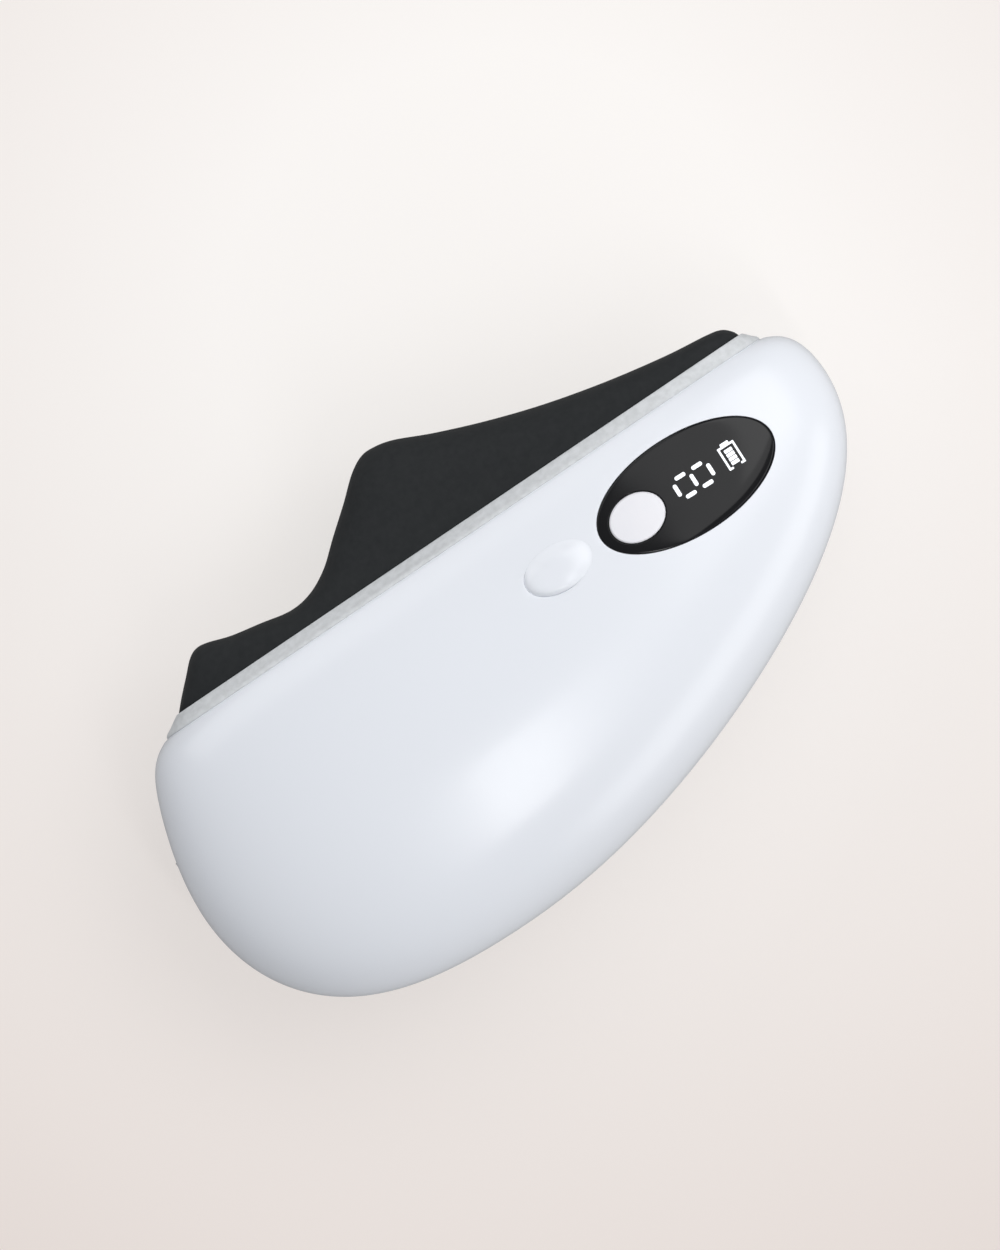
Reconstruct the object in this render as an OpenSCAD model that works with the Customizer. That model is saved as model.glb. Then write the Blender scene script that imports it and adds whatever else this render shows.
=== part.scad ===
// Electric gua sha tool, lying on its back with the display up.
// X runs along the straight edge from heel to nose, Y points at the stone, Z is up.
// Depth d is measured from the straight edge towards the curved edge.

/* [Body] */
// Length of the body from heel to nose
body_l = 130; // [128:1:133]
// Depth of the body from its straight edge to its curved edge
body_d = 56; // [55:1:60]
// Thickness of the body
body_h = 38; // [36:1:42]
// Wall thickness of both shells
wall = 2.2; // [1.6:0.1:2.6]
// How far the back would bulge past its flat land
back_bulge = 0.8; // [0.5:0.1:1.2]
// Clearance between pieces that plug into each other
fit = 0.15; // [0.1:0.01:0.2]

/* [Stone] */
// Length of the stone along the straight edge
stone_l = 106.6; // [100:0.2:108]
// Thickness of the stone at its base
stone_w = 20.8; // [18:0.2:22]
// Height of the stone's peak above the collar
stone_h = 17.7; // [14:0.1:20]
// Length of the stone's foot inside the collar
foot_l = 101; // [95:0.5:102]
// Thickness of the stone's foot
foot_w = 15; // [12:0.2:16]
// Depth of the stone's foot
foot_d = 2; // [1.2:0.1:2.6]
// Height of the collar's sloped band
collar_h = 2.3; // [1.8:0.1:3]
// How far the collar plugs into the shells
spigot_d = 4; // [3:0.1:5]

/* [Heater] */
// Thickness of the heating film
film_t = 0.3; // [0.2:0.05:0.5]
// Thickness of the back plate that holds the heater
plate_t = 1.2; // [1:0.1:1.5]

/* [Panel] */
// Length of the oval panel
panel_l = 31.8; // [30:0.2:34]
// Width of the oval panel
panel_w = 16.2; // [15:0.2:18]
// Distance from the panel's centre to the tip of the nose
panel_back = 28.8; // [28.4:0.2:29.6]
// Depth of the panel's centre
panel_d = 12.6; // [12:0.2:13.4]
// Thickness of the panel lens
lens_t = 1.5; // [1.2:0.1:1.8]
// Height of the lit digit between its end strokes, standing towards the nose
digit_h = 6.2; // [5:0.1:6.6]
// Width of the lit digit between its side strokes
digit_w = 3.4; // [3:0.1:4]
// Width of a lit stroke
stroke = 0.65; // [0.5:0.05:0.8]
// Distance from the panel's centre to the digit's centre
digit_off = 1.5; // [1.2:0.1:1.8]
// Distance from the panel's centre to the battery icon's centre
icon_off = 8.6; // [8:0.1:9]
// Length of the battery icon across the panel
icon_l = 4.2; // [3.6:0.1:4.6]
// Width of the battery icon along the panel
icon_w = 3; // [2.6:0.1:3.2]

/* [Buttons] */
// Length of the oval power button
power_l = 9.4; // [8.6:0.2:9.6]
// Width of the oval power button
power_w = 7.5; // [7:0.1:8]
// Distance from the panel's centre back to the power button
power_off = 9.2; // [9:0.1:9.6]
// Length of the raised mode button
mode_l = 12; // [11:0.2:12.2]
// Width of the raised mode button
mode_w = 7.4; // [6.8:0.2:7.6]
// Distance from the panel's centre back to the mode button
mode_off = 23.9; // [23.6:0.1:24.6]
// Depth of the mode button
mode_d = 12.2; // [11.8:0.1:12.6]
// How far the mode button stands proud
mode_rise = 1.1; // [0.8:0.1:1.4]
// How far the power button stands proud of the lens
power_rise = 0.5; // [0.3:0.1:0.7]
// Travel of both buttons
travel = 0.4; // [0.3:0.05:0.45]
// Width of the lip that keeps a button in
lip = 0.8; // [0.6:0.1:0.9]
// Thickness of that lip
lip_t = 0.9; // [0.7:0.1:1]

/* [Boards] */
// Length of the main board
board_l = 46.5; // [45.5:0.5:47]
// Width of the main board
board_w = 16; // [15.6:0.2:16.4]
// Thickness of both boards
board_t = 1.2; // [0.8:0.1:1.4]
// Distance from the floor of the power button's pocket down to the main board
board_gap = 5.7; // [5.5:0.1:5.9]
// Side of a switch body
switch_w = 6; // [5:0.1:6.2]
// Height of a switch body
switch_h = 3.5; // [3:0.1:3.6]
// Radius of a switch plunger
plunger_r = 1.7; // [1.4:0.05:1.8]

/* [Battery] */
// Radius of the cylindrical cell
cell_r = 9.2; // [9:0.05:9.3]
// Length of the cylindrical cell
cell_l = 65; // [64:0.5:66]

/* [Motor] */
// Radius of the motor
motor_r = 6; // [5.5:0.1:6.2]
// Length of the motor
motor_l = 17; // [15:0.5:18]
// Radius of the motor shaft
shaft_r = 1; // [0.8:0.05:1.2]
// Radius of the eccentric weight
weight_r = 5; // [4:0.1:5.2]
// Length of the eccentric weight
weight_l = 5; // [4:0.5:5.5]

/* [Charging port] */
// Width of the charging socket
port_w = 8.94; // [8.9:0.02:9]
// Height of the charging socket
port_h = 3.16; // [3.1:0.02:3.2]
// Length of the charging socket
port_l = 7.3; // [7:0.1:7.5]

/* [Screws] */
// Shank radius of the shell screws
screw_r = 1.1; // [0.9:0.05:1.2]
// Head radius of the shell screws
screw_head_r = 2.1; // [1.9:0.05:2.2]
// Shank radius of the small inner screws
small_r = 0.8; // [0.6:0.05:0.9]
// Head radius of the small inner screws
small_head_r = 1.5; // [1.3:0.05:1.6]

/* [Hidden] */

$fn = 64;
mid_z = body_h / 2;
edge_y = (body_d - collar_h - stone_h) / 2;
run = 0.05;
cut = 1;

// Control points of the outline's two curves, in mm on the real body: reach along X and depth
len_k = body_l / 130;
depth_k = body_d / 56;
heel_x = [for (x = [-54, -65, -55, -80, -59, -63, -23]) x * len_k];
nose_x = [for (x = [59, 71, 56, 85.6, 31, 10, -23]) x * len_k];
depth_c = [for (d = [0, 4, 13, 27, 44, 56, 56]) d * depth_k];
// Half thickness along the depth, and how boxy the cross section is there
half_t = [for (t = [13.2, 16.7, 21, 20.5, 18.1, 11.8, 0]) t * body_h / 38];
boxy = [3.2, 3, 2.7, 2.5, 2.3, 2.2, 2.1];
// The heel is this share thicker than the middle, and the nose as much thinner
lean = 0.08;
rings = 24;
ring_end = 0.99;
arc_step = 7.5;

// Curve and section functions
function bez(c, s) = len(c) == 1 ? c[0] :
    bez([for (i = [0:len(c) - 2]) c[i] * (1 - s) + c[i + 1] * s], s);
function grown(c, v) = [for (i = [0:len(c) - 1]) i == len(c) - 1 ? c[i] : c[i] + v];
function spow(v, p) = sign(v) * pow(abs(v), p);
function low_x(s, skin) = bez(grown(heel_x, skin), s);
function high_x(s, skin) = bez(grown(nose_x, -skin), s);
function depth_at(s, skin) = bez(depth_c, s) * (1 - skin / body_d);
function half_at(s, skin) = bez(grown(half_t, -skin), s);
function rise(u, n) = pow(1 - pow(abs(u), n), 1 / n) * (1 - lean * u);
// Share of the curve at which depth d is reached
function share_at(d, skin, lo = 0, hi = 1, left = 22) = left == 0 ? (lo + hi) / 2 :
    depth_at((lo + hi) / 2, skin) < d ? share_at(d, skin, (lo + hi) / 2, hi, left - 1)
    : share_at(d, skin, lo, (lo + hi) / 2, left - 1);
// Height of the front above the middle plane, over the point x at depth d
function front_h(x, d, skin = 0) =
    let (s = share_at(d, skin), lo = low_x(s, skin), hi = high_x(s, skin))
    half_at(s, skin) * rise((2 * x - lo - hi) / (hi - lo), bez(boxy, s));
function end_x(d, skin) = low_x(share_at(d, skin), skin);
function oval_pts(a, b, n, count) = [for (k = [0:count - 1])
    [a * spow(cos(360 * k / count), 2 / n), b * spow(sin(360 * k / count), 2 / n)]];
function curve_pt(a, b, c, d, t) = 0.5 * (2 * b + (c - a) * t + (2 * a - 5 * b + 4 * c - d) * t * t
    + (3 * b - a - 3 * c + d) * t * t * t);
function curve(p, steps) = [for (i = [0:len(p) - 2], k = [0:steps - 1])
    curve_pt(p[max(i - 1, 0)], p[i], p[i + 1], p[min(i + 2, len(p) - 1)], k / steps), p[len(p) - 1]];

// A closed solid through rings of points that all have the same count
module loft(r) {
    n = len(r[0]);
    last = len(r) - 1;
    sides = [for (i = [0:last - 1], k = [0:n - 1], upper = [0, 1])
        let (a = i * n + k, b = i * n + (k + 1) % n)
        upper == 0 ? [a, a + n, b] : [b, a + n, b + n]];
    ends = [[for (k = [0:n - 1]) k], [for (k = [n - 1:-1:0]) last * n + k]];
    polyhedron([for (ring = r) each ring], concat(sides, ends), convexity = 6);
}

// One half of the body's space above the middle plane, skin mm inside its surface
function half_ring(s, skin, grow, drop, d) =
    let (lo = low_x(s, skin), hi = high_x(s, skin), n = bez(boxy, s), t = half_at(s, skin - grow))
    [if (drop > 0) [hi, edge_y - d, -drop],
     for (v = [0:arc_step:180])
        let (u = spow(cos(v), 2 / n))
        [(lo + hi) / 2 + u * (hi - lo) / 2, edge_y - d, t * spow(sin(v), 2 / n) * (1 - lean * u)],
     if (drop > 0) [lo, edge_y - d, -drop]];
module half_space(skin = 0, grow = 0, drop = 0) {
    loft([if (skin > 0) half_ring(0, skin, grow, drop, -cut),
        for (i = [0:rings]) let (s = ring_end * i / rings)
            half_ring(s, skin, grow, drop, depth_at(s, skin))]);
}

// A patch of the front surface between two depths below it
module front_patch(x0, x1, d0, d1, low, high) {
    nx = 12;
    nd = 8;
    loft([for (j = [0:nd]) let (d = d0 + (d1 - d0) * j / nd) concat(
        [for (i = [nx:-1:0]) let (x = x0 + (x1 - x0) * i / nx) [x, edge_y - d, mid_z + front_h(x, d) - high]],
        [for (i = [0:nx]) let (x = x0 + (x1 - x0) * i / nx) [x, edge_y - d, mid_z + front_h(x, d) - low]])]);
}

// Placing helpers
module at(x, d, z) { translate([x, edge_y - d, z]) children(); }
module oval(l, w, z0, z1) {
    translate([0, 0, z0]) linear_extrude(z1 - z0) scale([l / 2, w / 2]) circle(1);
}
module block(x0, x1, d0, d1, z0, z1) {
    translate([x0, edge_y - d1, z0]) cube([x1 - x0, d1 - d0, z1 - z0]);
}
module rod(x0, x1, d, z, r) { at(x0, d, z) rotate([0, 90, 0]) cylinder(r = r, h = x1 - x0); }
module slab_y(y_top, t) { translate([0, y_top, mid_z]) rotate([90, 0, 0]) linear_extrude(t) children(); }
module stadium(w, h) {
    square([w - h, h], center = true);
    for (side = [-1, 1]) translate([side * (w - h) / 2, 0]) circle(h / 2);
}
module port_bar(x0, x1, w, h) {
    at(x0, port_d, mid_z) rotate([90, 0, 90]) linear_extrude(x1 - x0) stadium(w, h);
}

// Places worked out from the driving sizes
panel_x = body_l / 2 - panel_back;
power_x = panel_x - power_off;
mode_x = panel_x - mode_off;
panel_x0 = panel_x - panel_l / 2 - 2 * cut;
panel_x1 = panel_x + panel_l / 2 + 2 * cut;
panel_d0 = panel_d - panel_w / 2 - 2 * cut;
panel_d1 = panel_d + panel_w / 2 + 2 * cut;
power_lip_z = mid_z + min(front_h(power_x + power_l / 2 + lip, panel_d),
    front_h(power_x + power_l / 4, panel_d - power_w / 2 - lip)) - lens_t - 2 * fit;
pocket_z = power_lip_z - lip_t - travel - fit;
tray_t = 1;
board_z = pocket_z - board_gap;
board_x = panel_x - 32.2;
board_d = panel_d - 4.6;
plunger_top = board_z + switch_h + 1.3;
plunger_low = board_z + 1.1;
mode_pad_z = mid_z + front_h(mode_x + mode_l / 4, mode_d - mode_w / 2 - lip, wall) - 0.5;
mode_lip_z = mode_pad_z - fit;
mode_top_z = mid_z + front_h(mode_x, mode_d) + mode_rise;
power_top_z = mid_z + front_h(power_x, panel_d) + power_rise;
hatch_x0 = power_x + power_l / 2 + lip + 1.2;
hatch_x1 = panel_x + icon_off + icon_w / 2 + 1;
hatch_w = 7.6;
guide_z = board_z + 4;
guide_t = 0.8;
stone_x = 3.2;
stone_round = 3.2;
stone_y = edge_y + collar_h;
collar_x = (heel_x[0] + nose_x[0]) / 2;
collar_a = (nose_x[0] - heel_x[0]) / 2;
foot_y = stone_y - foot_d;
plate_y = edge_y - spigot_d;
port_d = 21.5;
port_x = end_x(port_d, 0) + 0.7;
cell_x = port_x + port_l + 9.5;
cell_end = cell_x + cell_l;
cell_d = 34.5 * depth_k;
cradle_z = mid_z - cell_r - 1.2;
cradle_t = 1.2;
saddle_w = 4;
saddle_x = [cell_x + 9, cell_end - 10];
cradle_screw_x = [cell_x + 17, cell_end - 18];
pad_t = 1.4;
tab_t = 0.2;
motor_x = cell_end + 3;
motor_d = cell_d - 7.5;
motor_z = mid_z - 2;
motor_rib_x = [motor_x + 3, motor_x + motor_l - 3];
clamp_x = motor_x + motor_l / 2;
clamp_w = 4;
clamp_t = 1.4;
clamp_reach = motor_r + clamp_t + 2.4;
weight_x = motor_x + motor_l + 2;
shaft_end = weight_x + weight_l + 0.5;
bearing_d = 3;
charge_z = mid_z - port_h / 2 - 0.02;
charge_x0 = end_x(port_d - 6.5, wall) + 1.2;
charge_x1 = cell_x - 3;
charge_spots = [[charge_x1 - 3, port_d - 4.6], [charge_x1 - 3, port_d + 4.6]];
board_spots = [for (p = [[3, 13.5], [23, 13.5], [43, 13.5], [16.8, 1.6]]) [board_x + p[0], board_d + p[1]]];
post_r = 2;
shell_spots = [for (p = [[-56, 36], [-30, 15], [55.5, 16], [-15, 48.6]])
    [p[0] * len_k, p[1] * depth_k]];
boss_r = 3;
dowel_h = 1.2;
dowel_r = 1.9;
head_seat = 5;
screw_head_h = 1.4;
small_head_h = 1;
plate_spots = [for (x = [-38, 2, 40], side = [-1, 1]) [x * len_k, side]];
plate_hole_z = (foot_w / 2 + half_t[0] - wall) / 2 + 0.1;
lead_hole_x = 21;
lead_hole_r = 1.8;
bead_x = 30;
lead_r = 0.6;
body_white = [0.93, 0.94, 0.97];
board_green = [0.12, 0.36, 0.22];
steel = [0.72, 0.73, 0.75];

// Outline of the working edge: place along the stone and height above the collar
stone_edge = [[-50.1, 0.1], [-48.4, 1.9], [-46, 4.2], [-43.9, 6.2], [-42.2, 7], [-40.2, 6.8], [-36.5, 5.6],
    [-31.5, 4.6], [-26.5, 3.6], [-22.5, 4.1], [-18.5, 6.1], [-14.5, 9.4], [-10, 13], [-6.5, 16],
    [-3.8, 17.5], [-1.5, 17.7], [2, 16.9], [8, 14.2], [16, 11.1], [25, 8.2], [35, 5.7], [45, 3.8],
    [52, 2.9], [54.6, 2.3], [56, 1.1], [56.5, 0.1]];

// Shells
module shell_hollow(side) {
    // Drawn above the middle plane, so the rear one is mirrored there
    translate([0, 0, mid_z]) scale_side(side) half_space(wall, side < 0 ? back_bulge : 0, cut);
}
module scale_side(side) {
    if (side > 0) children();
    else mirror([0, 0, 1]) children();
}
module front_ribs() {
    intersection() {
        at(panel_x, panel_d, 0) oval(panel_l + 3.2, panel_w + 3.2, mid_z, body_h);
        front_patch(panel_x0, panel_x1, panel_d0, panel_d1, lens_t + tray_t, -cut);
    }
    at(power_x, panel_d, 0)
        oval(power_l + 2 * lip + 2.4, power_w + 2 * lip + 2.4, pocket_z - tray_t, body_h);
    at(mode_x, mode_d, 0) oval(mode_l + 2 * lip + 2.4, mode_w + 2 * lip + 2.4, mode_pad_z, body_h);
    for (p = board_spots) at(p[0], p[1], board_z) cylinder(r = post_r, h = body_h - board_z);
    for (p = shell_spots) at(p[0], p[1], mid_z) cylinder(r = boss_r, h = mid_z);
    for (x = saddle_x) block(x - 1.2, x + 1.2, cell_d - 6, cell_d + 6, mid_z + cell_r + pad_t + 0.1, body_h);
}
module front_shell() {
    color(body_white) difference() {
        translate([0, 0, mid_z]) half_space();
        difference() {
            shell_hollow(1);
            front_ribs();
        }
        intersection() {
            at(panel_x, panel_d, 0) oval(panel_l + 2 * fit, panel_w + 2 * fit, mid_z, body_h + cut);
            front_patch(panel_x0, panel_x1, panel_d0, panel_d1, lens_t + run, -cut);
        }
        at(power_x, panel_d, 0)
            oval(power_l + 2 * lip + 2 * fit, power_w + 2 * lip + 2 * fit, pocket_z, body_h);
        at(power_x, panel_d, mid_z) cylinder(r = plunger_r + 4 * fit, h = mid_z);
        block(hatch_x0, hatch_x1, panel_d - hatch_w / 2, panel_d + hatch_w / 2, mid_z, body_h);
        at(mode_x, mode_d, 0) oval(mode_l + 2 * fit, mode_w + 2 * fit, mid_z, body_h + cut);
        for (p = board_spots) at(p[0], p[1], board_z - cut) cylinder(r = small_r + 0.02, h = 3.4 + cut);
        for (p = shell_spots) {
            at(p[0], p[1], mid_z - cut) cylinder(r = screw_r + 0.02, h = 5 + cut);
            at(p[0], p[1], mid_z - cut) cylinder(r = dowel_r + fit, h = dowel_h + fit + cut);
        }
        port_bar(-body_l, port_x + port_l, port_w + 4 * fit, port_h + 4 * fit);
    }
}
module rear_ribs() {
    for (p = shell_spots) at(p[0], p[1], 0) cylinder(r = boss_r, h = mid_z);
    for (p = charge_spots) at(p[0], p[1], 0) cylinder(r = 2.2, h = charge_z - board_t);
    for (x = saddle_x) block(x - 2, x + 2, cell_d - 5, cell_d + 5, 0, cradle_z - cradle_t);
    for (x = cradle_screw_x) at(x, cell_d, 0) cylinder(r = 2.4, h = cradle_z - cradle_t);
    for (x = motor_rib_x) block(x - 1.2, x + 1.2, motor_d - motor_r - 1, motor_d + motor_r + 1, 0, motor_z);
    for (side = [-1, 1])
        at(clamp_x, motor_d + side * clamp_reach, 0) cylinder(r = 2.2, h = motor_z - clamp_t);
}
module rear_shell() {
    color(body_white) difference() {
        union() {
            intersection() {
                translate([0, 0, mid_z]) mirror([0, 0, 1]) half_space(0, back_bulge);
                translate([-body_l, -body_l, 0]) cube([2 * body_l, 2 * body_l, mid_z]);
            }
            for (p = shell_spots) at(p[0], p[1], mid_z - cut) cylinder(r = dowel_r, h = dowel_h + cut);
        }
        difference() {
            shell_hollow(-1);
            rear_ribs();
            for (p = shell_spots) at(p[0], p[1], mid_z - cut) cylinder(r = dowel_r, h = dowel_h + 2 * cut);
        }
        for (p = shell_spots) {
            at(p[0], p[1], -cut) cylinder(r = screw_head_r + 2 * run, h = mid_z - head_seat + cut);
            at(p[0], p[1], 0) cylinder(r = screw_r + run, h = body_h);
        }
        for (p = charge_spots) at(p[0], p[1], charge_z - board_t - 4) cylinder(r = small_r + 0.02, h = 5);
        for (x = cradle_screw_x) at(x, cell_d, cradle_z - cradle_t - 3.2) cylinder(r = small_r + 0.02, h = 4);
        rod(motor_x - cut, motor_x + motor_l + cut, motor_d, motor_z, motor_r + run);
        for (side = [-1, 1])
            at(clamp_x, motor_d + side * clamp_reach, motor_z - clamp_t - 4)
                cylinder(r = small_r + 0.02, h = 5);
        port_bar(-body_l, port_x + port_l, port_w + 4 * fit, port_h + 4 * fit);
    }
}

// Stone, its collar and the heater under it
function stone_half(x) = stone_w / 2 * pow(max(0, 1 - pow(abs(x - stone_x) / (stone_l / 2 + 0.1), 4)), 1 / 4);
module stone_plate() {
    edge = curve([for (p = stone_edge)
        [stone_x + (p[0] - stone_x) * stone_l / 106.6, p[1] * stone_h / 17.7]], 2);
    color([0.18, 0.19, 0.2]) {
        loft([for (p = edge) [for (v = [0:12:180])
            [p[0], stone_y + p[1] * spow(sin(v), 2 / stone_round),
                mid_z - stone_half(p[0]) * spow(cos(v), 2 / stone_round)]]]);
        slab_y(stone_y + 0.01, foot_d + 0.01) foot_shape(0);
    }
}
module foot_shape(gap) {
    translate([stone_x, 0]) polygon(oval_pts(foot_l / 2 + gap, foot_w / 2 + gap, 5, 48));
}
// One ring of the collar: blend 0 is the shell's mouth and 1 is the stone's base
function collar_ring(y, blend, inset) =
    let (x = collar_x + (stone_x - collar_x) * blend,
        a = collar_a + (stone_l / 2 + 0.7 - collar_a) * blend - inset,
        b = half_t[0] + (stone_w / 2 + 0.6 - half_t[0]) * blend - inset)
    [for (k = [0:47]) let (v = 7.5 * k, n = 3.2 + 0.8 * blend, u = spow(cos(v), 2 / n))
        [x + a * u, edge_y + y, mid_z - b * spow(sin(v), 2 / n) * (1 - lean * u * (1 - blend))]];
module stone_collar() {
    color([0.82, 0.83, 0.85]) difference() {
        union() {
            loft([collar_ring(0, 0, 0.35), collar_ring(0.35, 0, 0.35),
                collar_ring(0.35 + collar_h * 0.3, 0.42, 0), collar_ring(collar_h * 0.75, 0.8, 0),
                collar_ring(collar_h, 1, 0)]);
            slab_y(edge_y + 0.2, spigot_d + 0.2)
                translate([collar_x, 0]) polygon(oval_pts(collar_a - wall - fit - 0.6,
                    (half_t[0] - wall) * (1 - lean) - fit, 3.2, 48));
        }
        slab_y(stone_y + cut, collar_h + spigot_d + 2 * cut) foot_shape(fit);
        for (p = plate_spots)
            translate([p[0], plate_y + 3, mid_z + p[1] * plate_hole_z]) rotate([90, 0, 0])
                cylinder(r = small_r + 0.02, h = 3 + cut);
    }
}
module heater_film() {
    color([0.8, 0.5, 0.2]) slab_y(foot_y, film_t) foot_shape(-1);
}
module heater_pad() {
    color([0.35, 0.35, 0.37]) difference() {
        slab_y(foot_y - film_t, foot_y - film_t - plate_y) foot_shape(-0.5);
        for (x = [lead_hole_x, bead_x])
            translate([x, stone_y, mid_z]) rotate([90, 0, 0]) cylinder(r = lead_hole_r, h = 12);
    }
}
module heater_back_plate() {
    color([0.2, 0.2, 0.22]) difference() {
        slab_y(plate_y, plate_t)
            translate([collar_x, 0])
                polygon(oval_pts(collar_a - wall - 3, (half_t[0] - wall) * (1 - lean) - fit, 4, 48));
        for (p = plate_spots)
            translate([p[0], plate_y + cut, mid_z + p[1] * plate_hole_z]) rotate([90, 0, 0])
                cylinder(r = small_r + run, h = 4);
        translate([lead_hole_x, stone_y, mid_z]) rotate([90, 0, 0]) cylinder(r = lead_hole_r, h = 12);
    }
}
module thermistor() {
    color([0.1, 0.1, 0.1]) translate([bead_x, foot_y - film_t, mid_z]) rotate([90, 0, 0])
        cylinder(r = lead_hole_r - 0.4, h = 1.2);
}
// A pan-head screw hanging down from its head's seat at the origin
module screw(r, head_r, head_h, shank) {
    cylinder(r = head_r, h = head_h);
    translate([0, 0, -shank]) cylinder(r = r, h = shank + 0.01);
}
module plate_screws() {
    color(steel) for (p = plate_spots)
        translate([p[0], plate_y - plate_t, mid_z + p[1] * plate_hole_z]) rotate([90, 0, 0])
            screw(small_r, small_head_r, small_head_h, plate_t + 2.6);
}

// Panel and display
module lit_strokes(gap) {
    half_h = digit_h / 2;
    half_w = digit_w / 2;
    bar = half_h - stroke - 0.55;
    at(panel_x + digit_off, panel_d, 0) {
        for (i = [-1, 0, 1]) stroke_box([i * half_h, 0], [stroke, digit_w - stroke - 0.65], gap);
        for (i = [-1, 1], j = [-1, 1]) stroke_box([i * half_h / 2, j * half_w], [bar, stroke], gap);
    }
    fine = stroke * 0.55;
    at(panel_x + icon_off, panel_d, 0) {
        for (i = [-1, 1]) stroke_box([i * (icon_w - fine) / 2, 0], [fine, icon_l - 2 * fine - 0.3], gap);
        for (i = [-1, 1]) stroke_box([i * icon_w / 4, (fine - icon_l) / 2], [icon_w / 5, fine], gap);
        for (j = [-1.5:1:1.5]) stroke_box([0, j * icon_l / 5.6], [icon_w - 4 * fine, icon_l / 8], gap);
        stroke_box([0, (icon_l - fine) / 2], [icon_w - 2 * fine, fine], gap);
        stroke_box([0, icon_l / 2 + fine], [icon_w / 2, fine], gap);
    }
}
module stroke_box(at_xy, size, gap) {
    translate([at_xy[0] - size[0] / 2 - gap, at_xy[1] - size[1] / 2 - gap, guide_z + guide_t / 2])
        cube([size[0] + 2 * gap, size[1] + 2 * gap, body_h]);
}
module panel_lens() {
    color([0.1, 0.1, 0.12]) difference() {
        intersection() {
            at(panel_x, panel_d, 0) oval(panel_l, panel_w, mid_z, body_h + cut);
            front_patch(panel_x0, panel_x1, panel_d0, panel_d1, lens_t, 0);
        }
        at(power_x, panel_d, 0) oval(power_l + 2 * fit, power_w + 2 * fit, mid_z, body_h + cut);
        lit_strokes(0);
    }
}
module light_guide() {
    color([0.95, 0.97, 1]) {
        intersection() {
            lit_strokes(-0.04);
            front_patch(panel_x0, panel_x1, panel_d0, panel_d1, body_h, 0);
        }
        block(hatch_x0 + fit, hatch_x1 - fit, panel_d - hatch_w / 2 + fit, panel_d + hatch_w / 2 - fit,
            guide_z, guide_z + guide_t);
    }
}
module display_module() {
    color([0.85, 0.85, 0.85]) block(hatch_x0 + 2 * fit, hatch_x1 - 2 * fit,
        panel_d - hatch_w / 2 + fit, panel_d + hatch_w / 2 - fit, board_z, guide_z);
}

// Buttons and their switches
module button(l, w, lip_z, top_z) {
    dome_h = 0.9;
    oval(l, w, lip_z - 0.01, top_z - dome_h);
    translate([0, 0, top_z - dome_h - 0.01]) scale([l / 2, w / 2, dome_h + 0.01]) dome();
    oval(l + 2 * lip, w + 2 * lip, lip_z - lip_t, lip_z);
    translate([0, 0, plunger_top]) cylinder(r = plunger_r, h = lip_z - lip_t - plunger_top + 0.01);
}
module dome() {
    rotate_extrude() intersection() {
        circle(1);
        square(1);
    }
}
module power_button() {
    color(body_white) at(power_x, panel_d, 0) button(power_l, power_w, power_lip_z, power_top_z);
}
module mode_button() {
    color(body_white) at(mode_x, mode_d, 0) button(mode_l, mode_w, mode_lip_z, mode_top_z);
}
module switch_body(x, d) {
    color([0.15, 0.15, 0.16]) difference() {
        at(x, d, board_z) linear_extrude(switch_h) square(switch_w, center = true);
        at(x, d, plunger_low - travel - fit) cylinder(r = plunger_r + run, h = switch_h + cut);
    }
}
module switch_plunger(x, d) {
    color([0.9, 0.88, 0.8]) at(x, d, plunger_low) cylinder(r = plunger_r, h = plunger_top - plunger_low);
}
module power_switch() { switch_body(power_x, panel_d); }
module power_plunger() { switch_plunger(power_x, panel_d); }
module mode_switch() { switch_body(mode_x, mode_d); }
module mode_plunger() { switch_plunger(mode_x, mode_d); }

// Boards
module main_board() {
    color(board_green) difference() {
        block(board_x, board_x + board_l, board_d, board_d + board_w, board_z - board_t, board_z);
        for (p = board_spots)
            at(p[0], p[1], board_z - board_t - cut) cylinder(r = small_r + run, h = board_t + 2 * cut);
    }
}
module chip(x, d, l, w, h) {
    block(board_x + x, board_x + x + l, board_d + d, board_d + d + w, board_z, board_z + h);
}
module board_chips() {
    color([0.08, 0.08, 0.09]) {
        chip(7, 9.4, 5, 5, 1.2);
        chip(26.5, 10.6, 4, 4, 1.4);
        chip(33, 11, 3, 2, 1);
        for (i = [0:3]) chip(16 + 1.6 * i, 9, 1, 1.8, 0.6);
    }
}
module board_screws() {
    color(steel) for (p = board_spots) at(p[0], p[1], board_z - board_t) mirror([0, 0, 1])
        screw(small_r, small_head_r, small_head_h, board_t + 3);
}
module charge_board() {
    color(board_green) difference() {
        block(charge_x0, charge_x1, port_d - 6.5, port_d + 6.5, charge_z - board_t, charge_z);
        for (p = charge_spots)
            at(p[0], p[1], charge_z - board_t - cut) cylinder(r = small_r + run, h = board_t + 2 * cut);
    }
}
module charge_screws() {
    color(steel) for (p = charge_spots) at(p[0], p[1], charge_z)
        screw(small_r, small_head_r, small_head_h, board_t + 3.5);
}
module usb_socket() {
    can_t = 0.3;
    color(steel) {
        difference() {
            port_bar(port_x, port_x + port_l, port_w, port_h);
            port_bar(port_x - cut, port_x + port_l - 1, port_w - 2 * can_t, port_h - 2 * can_t);
        }
        block(port_x + 0.8, port_x + port_l - 0.9, port_d - 3.3, port_d + 3.3, mid_z - 0.35, mid_z + 0.35);
    }
}

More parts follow.
